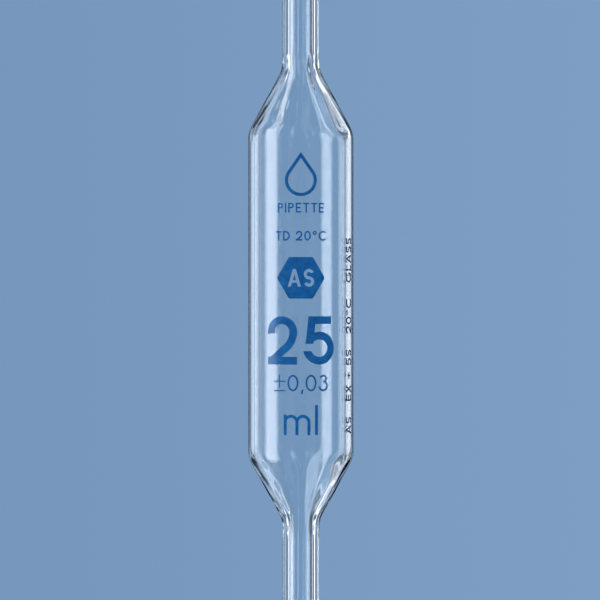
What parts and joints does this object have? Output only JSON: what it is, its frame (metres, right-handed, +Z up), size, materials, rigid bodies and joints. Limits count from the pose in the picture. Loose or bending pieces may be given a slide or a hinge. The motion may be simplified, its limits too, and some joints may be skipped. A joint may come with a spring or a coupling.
{
  "type": "volumetric pipette",
  "caption": "One-mark glass transfer pipette: long suction tube, straight cylindrical bulb with tapered shoulders and delivery tube drawn to a jet, with blue enamel markings.",
  "frame": {"origin": "on the pipette's axis at the jet's end face, its lowest point; the part is held up by its suction tube and doesn't stand on the jet", "axes": "+Z up the pipette's axis from the jet to the mouth, -Y the side with the front label, +X the side that the side inscription is turned towards"},
  "size_m": [0.021, 0.021, 0.52],
  "materials": {
    "glass": "clear borosilicate tubing, fire-polished",
    "blue_enamel": "fired glossy enamel"
  },
  "bodies": {
    "root": {"suction_tube": "glass", "bulb": "glass", "delivery_tube": "glass", "ring_mark": "blue_enamel", "colour_code_band": "blue_enamel", "drop_mark": "blue_enamel", "type_name": "blue_enamel", "delivery_marking": "blue_enamel", "class_badge": "blue_enamel", "capacity_numerals": "blue_enamel", "tolerance_marking": "blue_enamel", "unit_marking": "blue_enamel", "side_inscription": "blue_enamel"}
  },
  "joints": []
}
